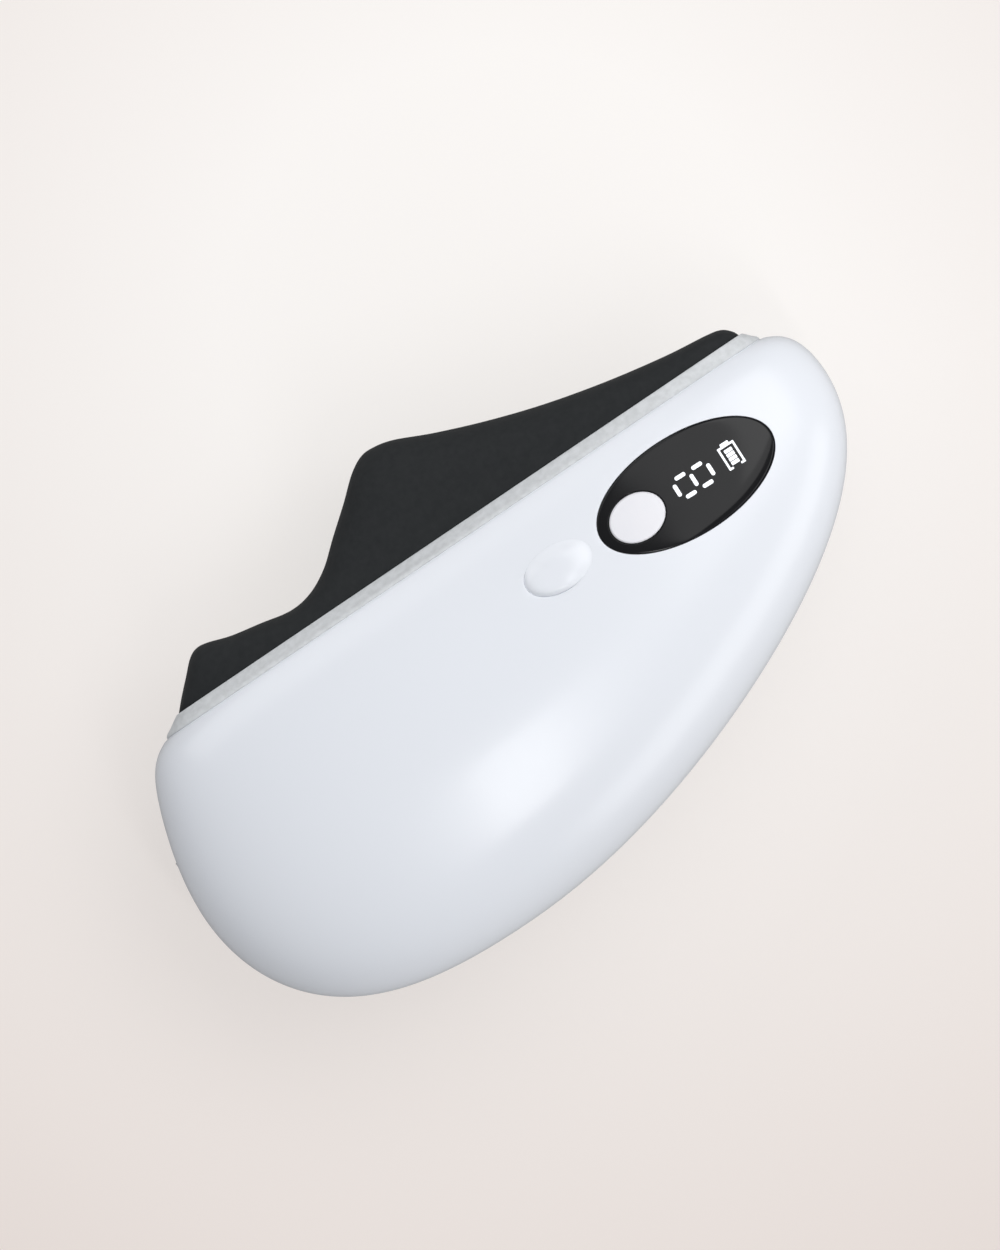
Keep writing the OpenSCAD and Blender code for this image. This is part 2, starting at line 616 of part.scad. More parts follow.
// Battery
module battery_cell() {
    color([0.25, 0.5, 0.75]) {
        rod(cell_x, cell_end - 0.6, cell_d, mid_z, cell_r);
        rod(cell_end - 0.7, cell_end, cell_d, mid_z, 3);
    }
}
module cell_tabs() {
    color(steel) {
        block(cell_x - tab_t, cell_x, cell_d - 4, cell_d + 4, mid_z - 3, mid_z + 6);
        block(cell_end, cell_end + tab_t, cell_d - 4, cell_d + 4, mid_z - 3, mid_z + 6);
    }
}
module battery_cradle() {
    outer = cell_r + 1.6;
    color([0.3, 0.31, 0.33]) difference() {
        union() {
            block(cell_x + 5, cell_end - 6, cell_d - 5, cell_d + 5, cradle_z - cradle_t, cradle_z);
            for (x = saddle_x) intersection() {
                rod(x - saddle_w / 2, x + saddle_w / 2, cell_d, mid_z, outer);
                block(x - saddle_w, x + saddle_w, cell_d - outer, cell_d + outer,
                    cradle_z - cradle_t, mid_z - 2);
            }
        }
        rod(cell_x - cut, cell_end + cut, cell_d, mid_z, cell_r + run);
        for (x = cradle_screw_x) at(x, cell_d, 0) cylinder(r = small_r + run, h = mid_z);
    }
}
module cradle_screws() {
    color(steel) for (x = cradle_screw_x) at(x, cell_d, cradle_z)
        screw(small_r, small_head_r, small_head_h, cradle_t + 2.8);
}
module cell_pads() {
    color([0.15, 0.15, 0.15]) for (x = saddle_x) difference() {
        block(x - 4, x + 4, cell_d - 5, cell_d + 5, mid_z + cell_r - 0.8, mid_z + cell_r + pad_t);
        rod(x - 5, x + 5, cell_d, mid_z, cell_r + run);
    }
}

// Vibration motor
module motor_can() {
    color(steel) difference() {
        rod(motor_x, motor_x + motor_l, motor_d, motor_z, motor_r);
        rod(motor_x + motor_l - bearing_d, motor_x + motor_l + cut, motor_d, motor_z, shaft_r + run);
    }
}
module motor_shaft() {
    color([0.6, 0.6, 0.62])
        rod(motor_x + motor_l - bearing_d + 0.3, shaft_end, motor_d, motor_z, shaft_r);
}
module eccentric_weight() {
    color([0.5, 0.48, 0.45]) difference() {
        union() {
            intersection() {
                rod(weight_x, weight_x + weight_l, motor_d, motor_z, weight_r);
                block(weight_x - cut, weight_x + weight_l + cut, motor_d - weight_r, motor_d + weight_r,
                    motor_z - weight_r, motor_z);
            }
            rod(weight_x, weight_x + weight_l, motor_d, motor_z, shaft_r + 1);
        }
        rod(weight_x - cut, weight_x + weight_l + cut, motor_d, motor_z, shaft_r + 0.01);
    }
}
module motor_clamp() {
    bore = motor_r + run;
    color([0.3, 0.31, 0.33]) difference() {
        union() {
            intersection() {
                rod(clamp_x - clamp_w / 2, clamp_x + clamp_w / 2, motor_d, motor_z, bore + clamp_t);
                block(clamp_x - clamp_w, clamp_x + clamp_w, motor_d - body_d, motor_d + body_d,
                    motor_z - clamp_t, body_h);
            }
            block(clamp_x - clamp_w / 2, clamp_x + clamp_w / 2, motor_d - clamp_reach - 2,
                motor_d + clamp_reach + 2, motor_z - clamp_t, motor_z);
        }
        rod(clamp_x - clamp_w, clamp_x + clamp_w, motor_d, motor_z, bore);
        for (side = [-1, 1])
            at(clamp_x, motor_d + side * clamp_reach, 0) cylinder(r = small_r + run, h = body_h);
    }
}
module motor_screws() {
    color(steel) for (side = [-1, 1]) at(clamp_x, motor_d + side * clamp_reach, motor_z)
        screw(small_r, small_head_r, small_head_h, clamp_t + 3.5);
}
module shell_screws() {
    color(steel) for (p = shell_spots) at(p[0], p[1], mid_z - head_seat) mirror([0, 0, 1])
        screw(screw_r, screw_head_r, screw_head_h, head_seat + 4.4);
}

// Insulated leads, each a round tube along its own smooth route of [x, depth, z] points
function unit(v) = v / norm(v);
module lead(route) {
    stops = [for (p = route) [p[0], edge_y - p[1], p[2]]];
    path = curve(stops, 3);
    end = len(stops) - 1;
    last = len(path) - 1;
    loft([for (i = [0:last])
        let (t = unit(i == 0 ? stops[1] - stops[0] : i == last ? stops[end] - stops[end - 1]
                : path[i + 1] - path[i - 1]),
            side = unit(cross(t, abs(t[2]) > 0.9 ? [1, 0, 0] : [0, 0, 1])), up = cross(side, t))
        [for (k = [0:7]) path[i] + lead_r * (cos(45 * k) * side + sin(45 * k) * up)]]);
}
board_low = board_z - board_t - run;
lead_rise = 1.3;
tab_side = tab_t + lead_r + run;
module cell_leads() {
    color([0.75, 0.1, 0.1]) {
        lead([[cell_end + tab_side, cell_d - 0.5, mid_z + 4], [cell_end + tab_side, cell_d - 3.5, mid_z + 4],
            [cell_end + 1, cell_d - 7, mid_z + 4], [cell_end - 0.6, cell_d - 10.6, mid_z + 3.8],
            [board_x + 8.6, board_d + 13.4, mid_z + 3.6], [board_x + 8, board_d + 12, board_low - lead_rise],
            [board_x + 8, board_d + 12, board_low]]);
        lead([[cell_x - tab_side, cell_d - 0.5, mid_z + 4], [cell_x - tab_side, cell_d - 3.5, mid_z + 4],
            [cell_x - 0.5, cell_d - 9.4, mid_z + 4.8], [cell_x + 4, cell_d - 12, mid_z + 5],
            [board_x - 9, cell_d - 12.1, mid_z + 3.5], [board_x + 4, board_d + 12, mid_z + 3.3],
            [board_x + 5.5, board_d + 10.5, board_low - lead_rise],
            [board_x + 5.5, board_d + 10.5, board_low]]);
    }
}
module charge_leads() {
    color([0.15, 0.15, 0.15]) for (i = [0, 1]) let (step = -1.8 * i)
        lead([[charge_x1 + run, port_d - 2.5 + step, charge_z - 0.6],
            [charge_x1 + 2, port_d - 2.5 + step, charge_z - 0.6], [cell_x + 3, port_d - 0.7 + step, mid_z],
            [board_x - 14, port_d - 0.7 + step, mid_z], [board_x - 1, board_d + 8 + step, mid_z + 2],
            [board_x + 2.5, board_d + 7 + step, board_low - lead_rise],
            [board_x + 2.5, board_d + 7 + step, board_low]]);
}
module motor_leads() {
    x = motor_x - run;
    color([0.15, 0.25, 0.7]) {
        lead([[x, motor_d - 3, motor_z], [x - 1.3, motor_d - 3, motor_z],
            [x - 3, motor_d - 4.2, motor_z + 1.6], [x - 3.7, board_d + 14, motor_z + 4.2],
            [x - 3.8, board_d + 13.6, board_low - lead_rise], [x - 3.8, board_d + 13.6, board_low]]);
        lead([[x, motor_d - 2.6, motor_z + 3], [x - 0.9, motor_d - 2.6, motor_z + 3],
            [x - 1.7, motor_d - 3.6, motor_z + 4.6], [x - 1.7, board_d + 14.4, board_low - lead_rise],
            [x - 1.7, board_d + 14.4, board_low]]);
    }
}
module heater_leads() {
    hole_d = edge_y - foot_y + film_t + run;
    color([0.85, 0.8, 0.75]) for (side = [-1, 1]) let (x = lead_hole_x + 0.8 * side)
        lead([[x, hole_d, mid_z], [x, 5.5, mid_z], [x + 0.4 * side, 9, mid_z + 1.5],
            [x + 3.4 + 0.4 * side, board_d + 4, board_low - lead_rise],
            [x + 3.4 + 0.4 * side, board_d + 4, board_low]]);
}

front_shell();
rear_shell();
stone_plate();
stone_collar();
heater_film();
heater_pad();
heater_back_plate();
plate_screws();
thermistor();
panel_lens();
light_guide();
display_module();
power_button();
power_switch();
power_plunger();
mode_button();
mode_switch();
mode_plunger();
main_board();
board_chips();
board_screws();
charge_board();
charge_screws();
usb_socket();
battery_cell();
cell_tabs();
battery_cradle();
cradle_screws();
cell_pads();
motor_can();
motor_clamp();
motor_screws();
motor_shaft();
eccentric_weight();
shell_screws();
cell_leads();
charge_leads();
motor_leads();
heater_leads();
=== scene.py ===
import math

import bpy
from mathutils import Matrix, Vector


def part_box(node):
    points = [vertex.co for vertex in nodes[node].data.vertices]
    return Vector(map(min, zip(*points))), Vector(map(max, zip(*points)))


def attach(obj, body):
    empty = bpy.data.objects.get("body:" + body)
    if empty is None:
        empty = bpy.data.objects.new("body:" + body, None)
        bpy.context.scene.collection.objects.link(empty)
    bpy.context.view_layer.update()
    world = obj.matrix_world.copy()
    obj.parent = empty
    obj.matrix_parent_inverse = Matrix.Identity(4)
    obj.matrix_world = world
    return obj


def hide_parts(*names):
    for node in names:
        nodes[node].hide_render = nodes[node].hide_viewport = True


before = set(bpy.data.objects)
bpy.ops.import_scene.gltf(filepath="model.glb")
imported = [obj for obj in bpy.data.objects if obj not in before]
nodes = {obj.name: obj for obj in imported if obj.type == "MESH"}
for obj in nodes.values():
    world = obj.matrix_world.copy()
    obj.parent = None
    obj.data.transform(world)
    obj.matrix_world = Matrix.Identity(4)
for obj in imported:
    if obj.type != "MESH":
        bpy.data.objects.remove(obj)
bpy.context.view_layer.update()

mm = 0.001

# Selecting and applying


def selectOnly(piece):
    bpy.ops.object.select_all(action="DESELECT")
    piece.select_set(True)
    bpy.context.view_layer.objects.active = piece


def applyModifier(piece, kind, **settings):
    selectOnly(piece)
    bpy.ops.object.modifier_add(type=kind)
    modifier = piece.modifiers[-1]
    for key, value in settings.items():
        setattr(modifier, key, value)
    bpy.ops.object.modifier_apply(modifier=modifier.name)


def smooth(piece, degrees=35):
    selectOnly(piece)
    bpy.ops.object.shade_smooth_by_angle(angle=math.radians(degrees))


def settle(piece):
    selectOnly(piece)
    bpy.ops.object.transform_apply(location=True, rotation=True, scale=True)


def gridPiece(name, across, along, place, closed=True):
    # a grid primitive whose points are laid on a surface; place gets both shares from 0 to 1
    bpy.ops.object.select_all(action="DESELECT")
    bpy.ops.mesh.primitive_grid_add(x_subdivisions=across, y_subdivisions=along, size=1)
    piece = bpy.context.object
    piece.name = name
    for vertex in piece.data.vertices:
        vertex.co = place(vertex.co.x + 0.5, vertex.co.y + 0.5)
    bpy.ops.object.mode_set(mode="EDIT")
    bpy.ops.mesh.select_all(action="SELECT")
    bpy.ops.mesh.remove_doubles(threshold=0.0000005)
    if closed:
        bpy.ops.mesh.normals_make_consistent(inside=False)
    bpy.ops.object.mode_set(mode="OBJECT")
    return piece


def cutAway(piece, cutters):
    for cutter in cutters:
        applyModifier(piece, "BOOLEAN", operation="DIFFERENCE", solver="EXACT", object=cutter)
        bpy.data.objects.remove(cutter)


# Materials


def newMaterial(name, color, roughness, **settings):
    material = bpy.data.materials.new(name)
    material.use_nodes = True
    shader = material.node_tree.nodes["Principled BSDF"]
    shader.inputs["Base Color"].default_value = (*color, 1)
    shader.inputs["Roughness"].default_value = roughness
    for key, value in settings.items():
        shader.inputs[key.replace("_", " ")].default_value = value
    return material


def addNode(material, kind, **inputs):
    node = material.node_tree.nodes.new(kind)
    for key, value in inputs.items():
        node.inputs[key.replace("_", " ")].default_value = value
    return node


def objectNoise(material, scale, detail=4, stretch=(1, 1, 1)):
    link = material.node_tree.links.new
    where = addNode(material, "ShaderNodeTexCoord")
    mapping = addNode(material, "ShaderNodeMapping", Scale=stretch)
    noise = addNode(material, "ShaderNodeTexNoise", Scale=scale, Detail=detail)
    link(where.outputs["Object"], mapping.inputs["Vector"])
    link(mapping.outputs["Vector"], noise.inputs["Vector"])
    return noise


def varyColor(material, scale, dark, light, detail=4, low=0.35, high=0.65):
    # the base colour drifts between two tones
    link = material.node_tree.links.new
    shader = material.node_tree.nodes["Principled BSDF"]
    noise = objectNoise(material, scale, detail)
    ramp = addNode(material, "ShaderNodeValToRGB")
    ramp.color_ramp.elements[0].position = low
    ramp.color_ramp.elements[0].color = (*dark, 1)
    ramp.color_ramp.elements[1].position = high
    ramp.color_ramp.elements[1].color = (*light, 1)
    link(noise.outputs["Fac"], ramp.inputs["Fac"])
    link(ramp.outputs["Color"], shader.inputs["Base Color"])


def varyRoughness(material, scale, low, high, detail=5):
    link = material.node_tree.links.new
    shader = material.node_tree.nodes["Principled BSDF"]
    noise = objectNoise(material, scale, detail)
    spread = addNode(material, "ShaderNodeMapRange", From_Min=0.15, From_Max=0.85, To_Min=low, To_Max=high)
    link(noise.outputs["Fac"], spread.inputs["Value"])
    link(spread.outputs["Result"], shader.inputs["Roughness"])


def addBump(material, scale, strength, distance, detail=3, stretch=(1, 1, 1)):
    link = material.node_tree.links.new
    shader = material.node_tree.nodes["Principled BSDF"]
    noise = objectNoise(material, scale, detail, stretch)
    bump = addNode(material, "ShaderNodeBump", Strength=strength, Distance=distance)
    link(noise.outputs["Fac"], bump.inputs["Height"])
    link(bump.outputs["Normal"], shader.inputs["Normal"])


def shellPlastic():
    look = dict(cool=(0.805, 0.826, 0.872), warm=(0.815, 0.834, 0.876), roughness=(0.24, 0.27))
    material = newMaterial("shellPlastic", look["cool"], 0.25, Coat_Weight=0.15, Coat_Roughness=0.12)
    varyColor(material, 14, look["cool"], look["warm"], detail=1, low=0.2, high=0.8)
    varyRoughness(material, 60, *look["roughness"], detail=1)
    addBump(material, 2200, 0.012, 0.00001, detail=1)
    return material


def buttonPlastic():
    look = dict(cool=(0.82, 0.815, 0.85), warm=(0.85, 0.84, 0.87), roughness=(0.32, 0.4))
    material = newMaterial("buttonPlastic", look["cool"], 0.36, Coat_Weight=0.1, Coat_Roughness=0.25)
    varyColor(material, 180, look["cool"], look["warm"])
    varyRoughness(material, 400, *look["roughness"])
    addBump(material, 5000, 0.03, 0.00002)
    return material


def collarPlasticPaintedShade():
    # Part of this grey's darkness against the shell's pale plastic is painted shade on the band. The drift
    # between its two tones is the band's own grain.
    look = dict(dark=(0.60, 0.615, 0.625), light=(0.685, 0.70, 0.715), roughness=(0.5, 0.62))
    material = newMaterial("collarPlasticPaintedShade", look["dark"], 0.55)
    varyColor(material, 900, look["dark"], look["light"], detail=5)
    varyRoughness(material, 500, *look["roughness"])
    addBump(material, 3500, 0.12, 0.00004)
    return material


def blackStone():
    look = dict(dark=(0.0125, 0.0142, 0.0155), light=(0.0165, 0.0182, 0.0195), roughness=(0.72, 0.84))
    material = newMaterial("blackStone", look["dark"], 0.78, Specular_IOR_Level=0.3)
    varyColor(material, 900, look["dark"], look["light"], detail=8, low=0.3, high=0.75)
    varyRoughness(material, 500, *look["roughness"], detail=6)
    addBump(material, 5200, 0.1, 0.00003, detail=5)
    return material


def lensAcrylic():
    look = dict(dark=(0.0022, 0.0022, 0.0030), light=(0.0034, 0.0034, 0.0042), roughness=(0.11, 0.14))
    material = newMaterial("lensAcrylic", look["dark"], 0.12, Specular_IOR_Level=0.3)
    varyColor(material, 90, look["dark"], look["light"])
    varyRoughness(material, 300, *look["roughness"], detail=2)
    return material


def litWindow():
    look = dict(white=(0.86, 0.88, 0.92), glow=0.42)
    material = newMaterial("litWindow", look["white"], 0.4, Emission_Strength=look["glow"])
    link = material.node_tree.links.new
    noise = objectNoise(material, 1500, 2)
    ramp = addNode(material, "ShaderNodeValToRGB")
    ramp.color_ramp.elements[0].color = (0.86, 0.9, 0.98, 1)
    ramp.color_ramp.elements[1].color = (1, 1, 1, 1)
    link(noise.outputs["Fac"], ramp.inputs["Fac"])
    link(ramp.outputs["Color"], material.node_tree.nodes["Principled BSDF"].inputs["Emission Color"])
    return material


def mouldedPart(name, color, roughness=0.5, grain=900, depth=0.15, **settings):
    # plastic, rubber or foam parts inside, each with its own tone and grain
    material = newMaterial(name, color, roughness, **settings)
    varyColor(material, grain / 4, [c * 0.85 for c in color], [min(1, c * 1.12) for c in color])
    varyRoughness(material, grain, roughness * 0.85, min(1, roughness * 1.15))
    addBump(material, grain * 3, depth, 0.00004)
    return material


def platedSteel(name="platedSteel", color=(0.55, 0.56, 0.58), stretch=(1, 30, 30)):
    material = newMaterial(name, color, 0.28, Metallic=1.0)
    varyColor(material, 600, [c * 0.85 for c in color], color)
    varyRoughness(material, 900, 0.2, 0.38)
    addBump(material, 500, 0.06, 0.00002, stretch=stretch)
    return material


print("stage: materials")
plastic = shellPlastic()
keyPlastic = buttonPlastic()
bandPlasticPaintedShade = collarPlasticPaintedShade()
stoneBlack = blackStone()
acrylic = lensAcrylic()
litWhite = litWindow()
steel = platedSteel()
darkPlastic = mouldedPart("darkPlastic", (0.02, 0.02, 0.022))
framePlastic = mouldedPart("framePlastic", (0.07, 0.07, 0.08))
foam = mouldedPart("foam", (0.09, 0.09, 0.095), 0.95, 1800, 0.5)
boardGreen = mouldedPart("boardGreen", (0.015, 0.10, 0.035), 0.35, 700, 0.05, Coat_Weight=0.4)
amberFilm = mouldedPart("amberFilm", (0.52, 0.22, 0.04), 0.25, 500, 0.05)
cellSleeve = mouldedPart("cellSleeve", (0.03, 0.13, 0.42), 0.3, 300, 0.05)
creamPlastic = mouldedPart("creamPlastic", (0.72, 0.68, 0.55))
displayGrey = mouldedPart("displayGrey", (0.42, 0.42, 0.43))
sinteredMetal = mouldedPart("sinteredMetal", (0.25, 0.24, 0.22), 0.5, 1500, 0.3, Metallic=1.0)
redLead = mouldedPart("redLead", (0.42, 0.015, 0.015), 0.4)
darkLead = mouldedPart("darkLead", (0.02, 0.02, 0.02), 0.4)
blueLead = mouldedPart("blueLead", (0.015, 0.03, 0.32), 0.4)
paleLead = mouldedPart("paleLead", (0.62, 0.58, 0.52), 0.5)


def dress(piece, material):
    piece.data.materials.clear()
    piece.data.materials.append(material)


# The shell's outline and section, with the same control points as the construction

shell = dict(
    heel=(-54, -65, -55, -80, -59, -63, -23),
    nose=(59, 71, 56, 85.6, 31, 10, -23),
    depth=(0, 4, 13, 27, 44, 56, 56),
    half=(13.2, 16.7, 21, 20.5, 18.1, 11.8, 0),
    boxy=(3.2, 3, 2.7, 2.5, 2.3, 2.2, 2.1),
    lean=0.08,
    bulge=0.8,
    wall=2.2,
    around=150,
    along=120,
    rim=0.14,
    mouth=0.1,
)
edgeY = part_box("front_shell")[1].y / mm
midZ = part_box("front_shell")[0].z / mm


def bezier(points, share):
    points = list(points)
    while len(points) > 1:
        points = [a * (1 - share) + b * share for a, b in zip(points, points[1:])]
    return points[0]


def grown(points, amount):
    return [point + amount for point in points[:-1]] + [points[-1]]


sections = {}


def section(share, skin=0, grow=0):
    # (lowest x, highest x, depth, half thickness, boxiness) at a share of the outline, skin mm inside it
    key = (round(share, 7), round(skin, 4), grow)
    if key not in sections:
        sections[key] = (
            bezier(grown(shell["heel"], skin), share),
            bezier(grown(shell["nose"], -skin), share),
            bezier(shell["depth"], share) * (1 - skin / shell["depth"][-1]),
            bezier(grown(shell["half"], grow - skin), share),
            bezier(shell["boxy"], share),
        )
    return sections[key]


def power(value, exponent):
    return math.copysign(abs(value) ** exponent, value)


def shareAtDepth(depth):
    low, high = 0.0, 1.0
    for _ in range(26):
        middle = (low + high) / 2
        if bezier(shell["depth"], middle) < depth:
            low = middle
        else:
            high = middle
    return round((low + high) / 2, 6)


def frontHeight(x, depth):
    # height of the front surface above the floor, in mm
    lowX, highX, _, half, boxy = section(shareAtDepth(depth))
    across = (2 * x - lowX - highX) / (highX - lowX)
    return midZ + half * (1 - abs(across) ** boxy) ** (1 / boxy) * (1 - shell["lean"] * across)


def spot(x, depth, z):
    return Vector((x, edgeY - depth, z)) * mm


def quarterRound(radius, steps):
    # (how far in, how far down from the top) round a quarter of an edge
    turns = [math.pi / 2 * k / steps for k in range(steps + 1)]
    return [(radius * (1 - math.cos(t)), radius * (1 - math.sin(t))) for t in reversed(turns)]


def halfShell(name, side):
    # each row goes over the outer face, round the parting edge and back under the inner face
    turns = [math.pi * k / shell["around"] for k in range(shell["around"] + 1)]
    edge = quarterRound(shell["rim"], 3)[::-1]
    wall = shell["wall"]
    loop = [(t, 0, None) for t in turns]
    loop += [(math.pi, inset, lift) for inset, lift in edge[1:]]
    loop += [(t, wall, 0) for t in reversed(turns)]
    loop += [(0, inset, lift) for inset, lift in reversed(edge[1:])]
    rows = [(0, wall, 0, 0)]
    rows += [(0, inset, back, 1) for inset, back in quarterRound(shell["mouth"], 4)]
    rows += [(k / shell["along"], 0, 0, 1) for k in range(1, shell["along"] + 1)]

    def place(across, along):
        turn, skin, lift = loop[round(across * len(loop)) % len(loop)]
        share, rowSkin, back, full = rows[round(along * (len(rows) - 1))]
        skin = max(skin, rowSkin)
        lowX, highX, depth, half, boxy = section(share, skin, 0 if side > 0 else shell["bulge"])
        u = power(math.cos(turn), 2 / boxy)
        rise = half * abs(math.sin(turn)) ** (2 / boxy) * (1 - shell["lean"] * u)
        rise = max(rise, shell["rim"] * full if lift is None else lift * full)
        floorZ = wall if lift == 0 else skin
        z = midZ + side * rise
        return spot((lowX + highX) / 2 + u * (highX - lowX) / 2, depth + back, max(z, floorZ))

    return gridPiece(name, len(loop), len(rows) - 1, place)


def leaned(look, along, across):
    # from a piece's own axes, towards the nose and towards the stone, to a place on the face, in mm
    lean = math.radians(look.get("tilt", 0))
    px = look["x"] + along * math.cos(lean) + across * math.sin(lean)
    pd = look["depth"] + along * math.sin(lean) - across * math.cos(lean)
    return px, pd


def ovalSpot(look, turn, share=1, widen=0):
    along = (look["halfL"] + widen) * share * math.cos(turn)
    across = (look["halfW"] + widen) * share * math.sin(turn)
    return leaned(look, along, across)


# The panel and the keys are ovals on the front face; lengths and heights in mm, turns in degrees

panel = dict(
    x=36.2, depth=12.65, halfL=15.85, halfW=8.0, gap=0.06, lip=0.1, tilt=1.5, deep=1.5, rings=32, count=192,
    edge=((0.985, -0.02), (0.994, -0.07), (0.999, -0.14), (1, -0.24)),
    proud=0.02, droop=0.06, roll=0.3, rollTurn=305, rollFrom=0.55, rollReach=0.4,
)
powerKey = dict(
    x=27.0, depth=12.6, halfL=4.7, halfW=3.75, gap=0.12, lip=0.12, deep=2.6, rings=18, count=128,
    edge=((0.95, -0.03), (0.975, -0.09), (0.992, -0.18), (1, -0.3)),
    proud=0.32, dome=0.12,
)
modeKey = dict(
    x=12.3, depth=12.2, halfL=6.0, halfW=3.7, gap=0.004, lip=0.25, deep=3.0, rings=32, count=144,
    edge=((0.985, 0), (0.995, 0), (1, 0)),
    proud=0.72, steep=1.9, lean=0.1, leanTurn=325,
    sink=0.16, creaseTurn=213, creaseFrom=-0.02, creaseReach=0.82,
)
opening = dict(deep=6, high=3, lipSteps=6, flare=1.4)
port = dict(x=-63, deep=10, depth=21.5, width=9.54, height=3.76)
screwSpots = [(-56, 36), (-30, 15), (55.5, 16), (-15, 48.6)]
counterbore = dict(radius=2.2, floor=14.0)


def ovalPlug(name, look, count=144, ease=None):
    # a closed plug whose rings follow the front face: a straight wall, then a rounded lip that opens onto it
    radius = look["lip"]
    turns = [math.pi / 2 * k / opening["lipSteps"] for k in range(opening["lipSteps"] + 1)]
    rows = [(0, -opening["deep"])]
    rows += [(radius * (1 - math.cos(t)), radius * (math.sin(t) - 1)) for t in turns]
    rows += [(radius * opening["flare"], opening["high"])]

    def place(across, along):
        row = round(along * (len(rows) + 1))
        turn = 2 * math.pi * across
        if row == 0 or row == len(rows) + 1:
            height = rows[0][1] if row == 0 else rows[-1][1]
            return spot(look["x"], look["depth"], frontHeight(look["x"], look["depth"]) + height)
        widen, height = rows[row - 1]
        part = ease(turn) if ease else 1
        px, pd = ovalSpot(look, turn, 1, look["gap"] + widen * part)
        return spot(px, pd, frontHeight(px, pd) + height)

    return gridPiece(name, count, len(rows) + 1, place)


def easeIn(value):
    share = min(1, max(0, value))
    return share * share * (3 - 2 * share)


def creaseShare(turn):
    # how far the mode key's rim is a crease: wholly at the heel end, not at all towards the nose
    facing = math.cos(turn - math.radians(modeKey["creaseTurn"]))
    return easeIn((facing - modeKey["creaseFrom"]) / modeKey["creaseReach"])


def grooveShare(turn):
    # the opening's rounded lip keeps to the middle of the crease
    return creaseShare(turn) ** 3


def clearSelection(kind):
    bpy.ops.object.mode_set(mode="EDIT")
    bpy.ops.mesh.select_all(action="DESELECT")
    bpy.ops.mesh.select_mode(type=kind)
    bpy.ops.object.mode_set(mode="OBJECT")


def selectEdges(piece, wanted):
    # picks edges by their two ends and stays in edit mode
    clearSelection("EDGE")
    for edge in piece.data.edges:
        a, b = (piece.data.vertices[i].co for i in edge.vertices)
        edge.select = wanted(a, b)
    bpy.ops.object.mode_set(mode="EDIT")


def selectFaces(piece, wanted):
    # picks faces by their normal and stays in edit mode
    clearSelection("FACE")
    for face in piece.data.polygons:
        face.select = wanted(face.normal)
    bpy.ops.object.mode_set(mode="EDIT")


def portCutter():
    # a stadium bar through the heel's wall
    bpy.ops.object.select_all(action="DESELECT")
    bpy.ops.mesh.primitive_cube_add(size=1, location=spot(port["x"], port["depth"], midZ))
    cutter = bpy.context.object
    cutter.scale = (port["deep"] * mm, port["width"] * mm, port["height"] * mm)
    settle(cutter)
    selectEdges(cutter, lambda a, b: abs(a.x - b.x) > 0.005)
    bpy.ops.mesh.bevel(offset=port["height"] * mm * 0.499, segments=14)
    bpy.ops.object.mode_set(mode="OBJECT")
    return cutter


def roundCutter(x, depth, radius, low, high):
    bpy.ops.object.select_all(action="DESELECT")
    place = spot(x, depth, (low + high) / 2)
    tall = (high - low) * mm
    bpy.ops.mesh.primitive_cylinder_add(vertices=64, radius=radius * mm, depth=tall, location=place)
    cutter = bpy.context.object
    settle(cutter)
    return cutter


print("stage: shells")
frontShell = halfShell("frontShell", 1)
cutAway(
    frontShell,
    [
        ovalPlug("cutPanel", panel),
        ovalPlug("cutMode", modeKey, ease=grooveShare),
        portCutter(),
    ],
)
dress(frontShell, plastic)
smooth(frontShell, 30)
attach(frontShell, "housing")
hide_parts("front_shell")

rearShell = halfShell("rearShell", -1)
cutAway(
    rearShell,
    [roundCutter(x, depth, counterbore["radius"], -1, counterbore["floor"]) for x, depth in screwSpots]
    + [portCutter()],
)
dress(rearShell, plastic)
smooth(rearShell, 30)
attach(rearShell, "housing")
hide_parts("rear_shell")

# The stone's working edge: (place along the stone, height above the collar), in mm

stone = dict(
    edge=(
        (-50.1, 0.1), (-48.4, 1.9), (-46, 4.2), (-43.9, 6.2), (-42.2, 7), (-40.2, 6.8), (-36.5, 5.6),
        (-31.5, 4.6), (-26.5, 3.6), (-22.5, 4.1), (-18.5, 6.1), (-14.5, 9.4), (-10, 13), (-6.5, 16),
        (-3.8, 17.5), (-1.5, 17.7), (2, 16.9), (8, 14.2), (16, 11.1), (25, 8.2), (35, 5.7), (45, 3.8),
        (52, 2.9), (54.6, 2.3), (56, 1.1), (56.5, 0.1),
    ),
    middle=3.2,
    halfL=53.4,
    halfW=10.4,
    round=3.2,
    steps=9,
    across=56,
)
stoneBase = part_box("stone_collar")[1].y


def smoothCurve(points, steps):
    # a curve through the points that keeps its direction from one to the next
    out = []
    for i in range(len(points) - 1):
        a, b = Vector(points[max(i - 1, 0)]), Vector(points[i])
        c, d = Vector(points[i + 1]), Vector(points[min(i + 2, len(points) - 1)])
        for k in range(steps):
            t = k / steps
            out.append(0.5 * (2 * b + (c - a) * t + (2 * a - 5 * b + 4 * c - d) * t * t
                + (3 * b - a - 3 * c + d) * t ** 3))
    return out + [Vector(points[-1])]


